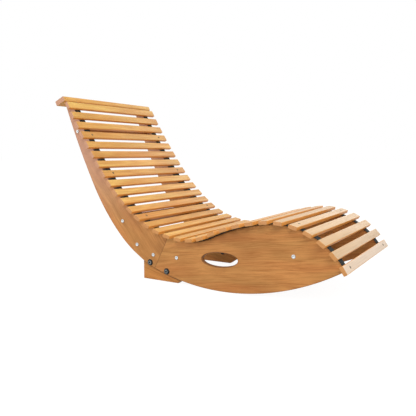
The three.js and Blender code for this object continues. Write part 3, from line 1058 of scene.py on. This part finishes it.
# Where the painted crease shade on the blocks lies and how dark it is, and how dark their end grain is.
crease_from, crease_to = 11 * mm, 8 * mm
crease_shade, end_shade = 0.35, 0.6
sideways_from, sideways_to = 0.3, 0.5
block_middle = abs(middle_of("stop_block_right")[1])
lumbar_centre = on_deck([begins[1] + lengths[1] / 2], deck_radii[1])[0]
lumbar_foot = on_deck([begins[2]], 0)[0][1]


def rosy(timber, colour):
    """A rosy tone that sets in high up."""
    tone = blend(timber.share * 0.3 + 0.4, pink_tone, scaled(pink_tone, 0.84))
    return blend(timber.up_high * 0.8, colour, tone)


def beside_seam(reach):
    """Darker wood within a reach of the seam, and the thin dark line of the joint."""
    def mark(timber, colour):
        off = (timber.x - seam_top[0]) * seam_normal[0] + (timber.z - seam_top[1]) * seam_normal[1]
        near = smooth_step(off, -reach, -0.1 * reach) * smooth_step(off, past_joint, 0.0)
        near = near * smooth_step(timber.z, knot_low, knot_high)
        curls = 0.5 + timber.rings * 0.2 + timber.cloud
        colour = blend(near * curls, colour, scaled(timber.dark, seam_shade))
        line = smooth_step(abs(off), joint_from, joint_to)
        return blend(line * 0.5, colour, scaled(timber.dark, joint_shade))
    return mark


def painted_shade_under_tape(timber, colour):
    """Painted deep shade just under the webbing, from the lumbar curve up."""
    low_enough = smooth_step(timber.past_arc(lumbar_centre, deck_radii[1]), tape_from, tape_to)
    high_enough = smooth_step(timber.z, lumbar_foot - tape_fade, lumbar_foot)
    return blend(low_enough * high_enough * 0.9, colour, scaled(timber.dark, tape_shade))


def crease_shade_and_ends(timber, colour):
    """Painted shade in the crease on the block's outer face along the rocker's arc, and dark end grain on
    both ends.
    """
    crease = smooth_step(timber.past_arc(rocker_centre, rocker_radius), crease_from, crease_to)
    outer = abs(timber.y) > block_middle
    colour = blend(crease * outer * 0.9, colour, scaled(timber.dark, crease_shade))
    ends = smooth_step(abs(timber.facing()[0]), sideways_from, sideways_to)
    return blend(ends * 0.8, colour, scaled(timber.dark, end_shade))


print("the shade under the webbing fades out", round(lumbar_foot, 3), "m above the floor")

# %% [markdown]
# The side boards are sawn from wider planks than the slats, so their streaks are broader.
# The grain of the rocker boards rises a little to the foot, and that of the back boards
# climbs with the back. Blocks and rails are short pieces of the same wood, and the blocks'
# colours are painted lighter, to make up for the shade that the rocker boards throw on them.

# %% Finishes of the side boards, blocks and rails
side_light, side_dark = (0.61, 0.28, 0.086), (0.38, 0.147, 0.038)
back_light, back_dark = (0.69, 0.335, 0.108), (0.43, 0.176, 0.049)
# Lighter than the side wood: painted light against the shade of the rocker board over the block.
block_light, block_dark = (0.67, 0.31, 0.088), (0.45, 0.182, 0.041)
rocker_finish = wood(
    "oiled_rocker_wood", side_light, side_dark, "X", 9 * mm,
    turn=math.radians(7), wave=16 * mm, broad=0.75, fine=2.3, marks=[beside_seam(1 * mm)],
)
back_finish = wood(
    "oiled_back_wood", back_light, back_dark, "X", 12 * mm,
    turn=math.radians(-52), wave=36 * mm, broad=0.7, fine=1.3, marks=[rosy, beside_seam(50 * mm), painted_shade_under_tape],
)
block_finish = wood(
    "oiled_block_wood", block_light, block_dark, "X", 10 * mm,
    turn=math.radians(-14), wave=20 * mm, fine=2.6, marks=[crease_shade_and_ends],
)
rail_finish = wood("oiled_rail_wood", side_light, side_dark, "Y", 12 * mm)
print("nodes in the back boards' graph:", len(back_finish.node_tree.nodes))

# %% [markdown]
# ## Side boards
#
# Each side is one blank with all its holes, sawn into the back board and the rocker board.
# The edges of the boards and of the hand hole are rounded with the same cutter, and the
# bolt holes only have their sharp rim taken off.

# %% Side boards
side_round = 4 * mm
hole_round = 0.5 * mm
halves = (("back", -1, back_finish), ("rocker", 1, rocker_finish))
for side_name, middle in side_middles.items():
    loops = [side_outline, hand_hole, *bolt_holes]
    radii = [side_round, side_round] + [hole_round] * len(bolt_holes)
    blank = board(loops, side_thickness, radii, middle).mesh(f"side_{side_name}")
    for kind, side, finish in halves:
        half = sawn(blank, side)
        install(f"{kind}_panel_{side_name}", half, finish, "side_wood", f"{kind}_board_{side_name}")
        print(kind, "board", side_name, len(half.polygons), "faces")

# %% [markdown]
# ## Stop blocks
#
# A block of the same wood is bolted inside each rocker. It reaches back to the floor behind
# the arc and keeps the lounger from tipping over backwards. Its outline has five corners.

# %% Stop blocks
stop_round = 3.5 * mm
stop_foot_length = 173 * mm
stop_nose_height = 45.5 * mm
block_holes = bolt_holes[len(rail_names):]
for side_name in side_middles:
    node_name = f"stop_block_{side_name}"
    low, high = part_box(node_name)
    foot_end = (low.x + stop_foot_length, 0)
    outline = [(low.x, 0), foot_end, (high.x, stop_nose_height), (high.x, high.z), (low.x, high.z)]
    radii = [stop_round] + [hole_round] * len(block_holes)
    shell = board([np.array(outline), *block_holes], high.y - low.y, radii, (low.y + high.y) / 2)
    install(f"foot_block_{side_name}", shell.mesh("foot_block"), block_finish, "block_wood", node_name)
block_thickness = high.y - low.y
print("blocks", round(block_thickness / mm, 1), "mm thick, with", len(block_holes), "holes each")

# %% [markdown]
# ## Cross rails
#
# Four rails tie the sides together. They are kept as the packed model has them, with their
# rounded edges, drilled ends and pockets, and only get their finish here. A mark that a mesh
# doesn't carry reads as zero, so the finish works on them as it is.

# %% Cross rails
for name in rail_names:
    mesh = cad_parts[name].data
    mesh.materials.clear()
    mesh.materials.append(rail_finish)
print("rails:", rail_names)

# %% [markdown]
# ## Turned pieces
#
# A bolt is a profile turned about its axis. The socket for the key is not round, so the
# radius of a ring may itself depend on the angle: a hexagon is the distance of its side
# over the cosine of the angle from that side's middle, and a star of straight arms, as
# slots and crosses are, is half the width of an arm over the sine of the angle from it.
# Both ends close with a flat face.


# %% Turned pieces
def hexagon(across_flats, share=1.0, more=0.0):
    """The radius of a hexagon at each angle: half its width over cos of the angle off a flat."""
    def radius(angle):
        off = (angle + math.pi / 6) % (math.pi / 3) - math.pi / 6
        return across_flats / 2 / np.cos(off) * share + more
    return radius


def star(arms, width, reach, share=1.0):
    """The radius of a star of straight arms: half their width over the sine off the nearest arm."""
    def radius(angle):
        spread = math.pi / arms * 2
        off = np.abs((angle + spread / 2) % spread - spread / 2)
        return np.minimum(reach, width / 2 / np.maximum(np.sin(off), 1e-6)) * share
    return radius


def lathe(rows, origin, axis, across=(1, 0, 0), count=36, highlight_above=1.0):
    """A profile of (radius, way) turned about an axis. A radius may depend on the angle.

    Point = origin + way * axis + radius * (cos a * across + sin a * (axis x across)).
    Points higher than highlight_above, and that are no part of a socket, get the edge mark, where a painted
    highlight goes.
    """
    origin, axis, across = (np.asarray(v, float) for v in (origin, axis, across))
    angle = np.linspace(0, 2 * math.pi, count, endpoint=False)
    radius = np.stack([np.broadcast_to(r(angle) if callable(r) else r, angle.shape) for r, _ in rows])
    way = np.array([w for _, w in rows])
    spokes = np.cos(angle)[:, None] * across + np.sin(angle)[:, None] * np.cross(axis, across)
    # The edge mark on a dome's crown is where its painted highlight goes.
    rubbed = (way > highlight_above) & (np.arange(len(way)) > 1)
    spread = origin + way[:, None, None] * axis + radius[..., None] * spokes
    return Shell().add_tube(spread, edge=rubbed[:, None])


def rows_of(radius, way):
    """Two arrays as the rows of a profile."""
    return list(zip(radius, way))


disc = lathe([(1, 0), (1, 1)], (0, 0, 0), (0, 0, 1))
print("a turned disc of radius 1 and height 1 holds", round(disc.volume(), 3), "and pi is", round(math.pi, 3))

# %% [markdown]
# ## Heads, nuts and sleeves
#
# Two kinds of bolt hold the sides. The pale ones are furniture connectors with a low round
# head and a hexagonal socket. Their other end goes into a barrel nut across the rail, or
# into a sleeve nut in the block. The dark ones are domed bolts with a washer and a
# hexagonal nut. How wide both kinds of head are is read from the packed model.

# %% Profiles of the fasteners
def half_height(node_name):
    """Half the height of the box round a CAD node."""
    low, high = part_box(node_name)
    return (high.z - low.z) / 2


chamfer, rim_ease = 0.5 * mm, 0.15 * mm
socket_floor, socket_mouth, socket_flare = 0.96, 0.25 * mm, 0.3 * mm
head_radius = half_height("block_connector_rear_right")
head_height, head_ease = 2.6 * mm, 1.1 * mm
key_width, key_depth = 4 * mm, 1.7 * mm
dome_radius = half_height("block_bolt_rear_right")
dome_height, dome_rim, dome_foot = 6 * mm, 0.17, 0.3 * mm
dome_key_width, dome_flat = 6 * mm, 24
nut_across_flats, nut_corner = 13 * mm, 0.93
barrel_radius, barrel_top, barrel_foot = 5 * mm, 6.7 * mm, -7.3 * mm
slot_width, slot_reach, slot_depth = 1.4 * mm, 3.6 * mm, 1 * mm


def socket_rows(width, top, depth):
    """The inside of a hexagonal socket: floor, wall and a small chamfer."""
    return [
        (hexagon(width, socket_floor), top - depth),
        (hexagon(width), top - socket_mouth),
        (hexagon(width, 1.0, socket_flare), top),
    ]


def pale_head_rows():
    """A low round head: socket, flat face, quarter-circle shoulder, rim.

    radius = R - e (1 - sin t), way = H - e (1 - cos t), for t from 0 to 90 degrees.
    """
    t = np.radians(np.linspace(0, 90, 7))
    shoulder = rows_of(head_radius - head_ease * (1 - np.sin(t)), head_height - head_ease * (1 - np.cos(t)))
    rim = [(head_radius, rim_ease), (head_radius - rim_ease, 0.0)]
    return socket_rows(key_width, head_height, key_depth) + shoulder + rim


def dome_rows():
    """A domed head: way = H sqrt(1 - s^2 (1 - rim^2)) at the share s of its radius."""
    share = np.sin(np.radians(np.linspace(dome_flat, 90, 12)))
    dome = rows_of(dome_radius * share, dome_height * np.sqrt(1 - share ** 2 * (1 - dome_rim ** 2)))
    rim = [(dome_radius, dome_foot), (dome_radius - dome_foot, 0.0)]
    return socket_rows(dome_key_width, dome[0][1], 2 * key_depth) + dome + rim


def nut_rows(top, low):
    """A hexagonal nut with its corners taken off at both ends."""
    full, less = hexagon(nut_across_flats), hexagon(nut_across_flats, nut_corner)
    return [(less, top), (full, top - chamfer), (full, low + chamfer), (less, low)]


def barrel_rows():
    """A round nut that lies across the rail, with a slot for the screwdriver at its foot."""
    slot = star(2, slot_width, slot_reach)
    return [
        (slot, barrel_foot + slot_depth), (slot, barrel_foot),
        (barrel_radius - chamfer, barrel_foot), (barrel_radius, barrel_foot + chamfer),
        (barrel_radius, barrel_top - chamfer), (barrel_radius - chamfer, barrel_top),
    ]


print("pale heads", round(2 * head_radius / mm, 1), "mm wide, domes", round(2 * dome_radius / mm, 1), "mm")

# %% [markdown]
# ## Bolts
#
# Every bolt starts on the outer face of a side board and points inwards. Its profile is
# counted along the outward direction, so all that lies in the wood has a negative way.

# %% Bolts
shank_radius, dark_shank_radius = 3 * mm, 4 * mm
shank_point = 0.7
barrel_inset = 30 * mm
sleeve_radius, sleeve_height = 7 * mm, 2 * mm
sleeve_wall, sleeve_ease = 1.4 * mm, 0.8 * mm
washer_radius, washer_height = 9 * mm, 1.6 * mm
nut_height, nut_play, shank_tail = 6.5 * mm, 0.1 * mm, 3 * mm
# The painted highlight covers the dome above this share of its height.
highlight_share = 0.8
block_grip = side_thickness + block_thickness + 3 * fit
grip_end = -(side_thickness + barrel_inset + 2 * fit)
washer_end = -block_grip - washer_height
nut_end = washer_end - nut_height

rail_bolt = [(shank_radius, 0.0), (shank_radius, grip_end), (shank_radius * shank_point, grip_end - fit)]
connector = [
    (shank_radius, 0.0), (shank_radius, -block_grip), (sleeve_radius, -block_grip),
    (sleeve_radius, -block_grip - sleeve_wall), (sleeve_radius - sleeve_ease, -block_grip - sleeve_height),
]
pale_look, dark_look = ("plated", pale_finish, "pale_steel"), ("painted", dark_finish, "dark_steel")
domed_bolt = [
    (dark_shank_radius, 0.0), (dark_shank_radius, -block_grip),
    (washer_radius, -block_grip), (washer_radius, washer_end),
    (dark_shank_radius, washer_end), (dark_shank_radius, nut_end - shank_tail),
]

for side_name, outward in (("right", -1), ("left", 1)):
    face = side_middles[side_name] + outward * (side_thickness / 2 + fit)
    out = (0, outward, 0)
    shells = {}
    for name in rail_names:
        centre, heading, _, _ = section_of(name)
        shell = lathe(pale_head_rows() + rail_bolt, (centre[0], face, centre[1]), out)
        rail_up = (-math.sin(heading), 0, math.cos(heading))
        nut_place = (centre[0], face + outward * grip_end, centre[1])
        shell.join(lathe(barrel_rows(), nut_place, rail_up, (0, 1, 0)))
        shells[name.replace("rail_", "rail_bolt_")] = shell
    for name, centre in connector_places.items():
        shells[name] = lathe(pale_head_rows() + connector, (centre[0], face, centre[1]), out)
    for name, centre in dark_places.items():
        origin = (centre[0], face, centre[1])
        shell = lathe(dome_rows() + domed_bolt, origin, out, highlight_above=highlight_share * dome_height)
        shells[name] = shell.join(lathe(nut_rows(washer_end - nut_play, nut_end), origin, out))
    for name, shell in shells.items():
        node_name = f"{name}_{side_name}"
        kind, finish, slot = dark_look if name in dark_places else pale_look
        install(f"{node_name}_{kind}", shell.mesh(node_name), finish, slot, node_name)
print("each bolt through a block grips", round(block_grip / mm, 1), "mm")

# %% [markdown]
# ## Screws
#
# Seven of the slats are screwed down to the side boards, and the others hang on the
# webbing. A screw head is a low dome with a cross recess. The recess is a star in the same
# sense as the socket is a hexagon: its radius is known at every angle, so it can be a row
# of the turned profile too.

# %% Screws
screwed_slats = (4, 8, 13, 18, 22, 26, 30)
screw_radius, screw_height, screw_depth = 5 * mm, 0.5 * mm, 6 * mm
screw_proud = 0.15 * mm
screw_points = 40
face_begin = 3.2 * mm
thread_radius, cone_depth = 1.8 * mm, 2.4 * mm
recess_width, recess_reach, recess_depth = 1.3 * mm, 2.9 * mm, 1.6 * mm
recess_floor = 0.6


def screw_rows():
    """Recess, domed face: way = h (1 - (r / R)^2) + a little, then the countersunk cone."""
    radius = np.linspace(face_begin, screw_radius, 5)
    dome = rows_of(radius, screw_height * (1 - (radius / screw_radius) ** 2) + screw_proud)
    cone = [(screw_radius, 0.0), (thread_radius, -cone_depth), (thread_radius, -screw_depth)]
    top = dome[0][1]
    floor = star(4, recess_width, recess_reach, recess_floor)
    return [(floor, top - recess_depth), (star(4, recess_width, recess_reach), top), *dome, *cone]


screws = Shell()
for number in screwed_slats:
    centre, heading, half, _ = section_of(f"slat_{number:02d}")
    up = np.array([-math.sin(heading), math.cos(heading)])
    top = centre + up * half[1]
    for middle in side_middles.values():
        origin = (top[0], middle, top[1])
        screws.join(lathe(screw_rows(), origin, (up[0], 0, up[1]), (0, 1, 0), screw_points))
install("deck_screws", screws.mesh("deck_screws"), screw_finish, "dark_steel")
print(len(screwed_slats) * 2, "screws")

# %% [markdown]
# ## Webbing
#
# The slats are fixed to two woven tapes that lie along the upper edges of the sides. The
# tape is a flat oval carried along the deck line: a circle whose cosine and sine are raised
# to a small power becomes nearly a rectangle. Its UV map holds the real distance across and
# along it, so the weave has its true size everywhere and bends with the tape.

# %% Webbing
tape_width = 33 * mm
tape_thickness = 2.5 * mm
tape_end_gap = 1 * mm
tape_step = 6 * mm
squareness = 0.32
stations = evenly(top_station + tape_end_gap, tip_station - tape_end_gap, tape_step)
angle = np.linspace(0, 2 * math.pi, 28, endpoint=False)


def squared(wave, size):
    """Half a size times sign(w) |w|^p: a wave that spends nearly all its way at both ends."""
    return size / 2 * np.sign(wave) * np.abs(wave) ** squareness


oval_y, oval_up = squared(np.cos(angle), tape_width), squared(np.sin(angle), tape_thickness)
spine, headings = walk(stations)
spine = spine + deck_shift
for side_name, middle in side_middles.items():
    rise = fit + tape_thickness / 2 + oval_up[None, :]
    x = spine[:, :1] - np.sin(headings)[:, None] * rise
    z = spine[:, 1:] + np.cos(headings)[:, None] * rise
    y = np.broadcast_to(middle + oval_y, x.shape)
    mesh = Shell().add_tube(np.stack([x, y, z], -1)).mesh("tape")
    layer = mesh.uv_layers.new(name="tape")
    corner_points = np.zeros(len(mesh.loops), np.int32)
    mesh.loops.foreach_get("vertex_index", corner_points)
    flat = np.stack([np.tile(oval_y, len(stations)), np.repeat(stations, len(angle))], 1)
    layer.uv.foreach_set("vector", flat[corner_points].astype(np.float32).ravel())
    piece = install(f"webbing_{side_name}", mesh, tape_finish, "webbing", f"webbing_strap_{side_name}")
print("webbing:", round(stations[-1] - stations[0], 3), "m on each side")

# %% [markdown]
# ## Floor and world
#
# The floor is a plain pale sheet. To the camera, and to glossy rays, most of its colour is
# given off instead of reflected, so that it is white around the lounger, while the rest is
# lit as usual and keeps the shadow. The world does the same: white to the camera, a soft
# even grey as light.

# %% Floor and world
floor_size = 30.0
floor_drop = 0.2 * mm
floor_lit, floor_seen = (0.48, 0.48, 0.48), (0.85, 0.85, 0.85)
floor_glow, glow_share = 1.16, 0.8
white = (1, 1, 1)
sky_tone, sky_strength = (1.0, 0.99, 0.97), 0.54

floor_mesh = bpy.data.meshes.new("floor")
corners = [(x * floor_size, y * floor_size, -floor_drop) for x, y in ((-1, -1), (1, -1), (1, 1), (-1, 1))]
floor_mesh.from_pydata(corners, [], [(0, 1, 2, 3)])
floor = put_in_scene("floor", floor_mesh)
floor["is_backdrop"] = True


def seen_directly(tree):
    """1 for camera, glossy and transmission rays, 0 for the rays that carry light about."""
    names = ("Is Camera Ray", "Is Glossy Ray", "Is Transmission Ray")
    kinds = sum(node(tree, "LightPath", output=name) for name in names)
    return kinds.math("MINIMUM", kinds, 1.0)


floor_finish = bpy.data.materials.new("pale_floor")
tree = empty_tree(floor_finish)
seen = seen_directly(tree)
lit = node(tree, "BsdfDiffuse", (), {"Color": blend(seen, floor_lit, floor_seen)})
given = node(tree, "Emission", (), {"Color": white, "Strength": floor_glow})
mixed = node(tree, "MixShader", (), {0: seen * glow_share, 1: lit, 2: given})
node(tree, "OutputMaterial", (), {"Surface": mixed})
floor_mesh.materials.append(floor_finish)

world = bpy.data.worlds.new("studio")
bpy.context.scene.world = world
tree = empty_tree(world)
soft = node(tree, "Background", (), {"Color": sky_tone, "Strength": sky_strength})
clear = node(tree, "Background", (), {"Color": white, "Strength": 1.0})
mixed = node(tree, "MixShader", (), {0: seen_directly(tree), 1: soft, 2: clear})
node(tree, "OutputWorld", (), {"Surface": mixed})
print("nodes of the floor and of the world:", len(floor_finish.node_tree.nodes), len(tree.nodes))

# %% [markdown]
# Four large square lamps stand round the lounger. The strongest is in front on the foot
# end's side, and their power is low enough that a colour looks about as it is written.


# %% Lamps
def soft_box(name, place, aim, size, power):
    """A large square lamp at a place, facing another place."""
    lamp = bpy.data.lights.new(name, "AREA")
    lamp.shape = "SQUARE"
    lamp.size = size
    lamp.energy = power
    holder = put_in_scene(name, lamp)
    holder.location = place
    holder.rotation_euler = (Vector(aim) - Vector(place)).to_track_quat("-Z", "Y").to_euler()


lounger_middle = (0, 0, 0.3)
soft_box("top_light", (0.4, -0.4, 4.5), (0.1, 0, 0.3), 3.0, 27)
soft_box("key_light", (2.2, -2.8, 2.1), lounger_middle, 2.0, 58)
soft_box("fill_light", (-1.6, -2.8, 1.4), lounger_middle, 2.4, 42)
soft_box("back_light", (0.6, 3.2, 1.8), lounger_middle, 2.4, 26)
print("lamps:", len(bpy.data.lights))

# %% [markdown]
# ## Size
#
# The box round all the finished pieces is measured.

# %% Sizes
low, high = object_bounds()
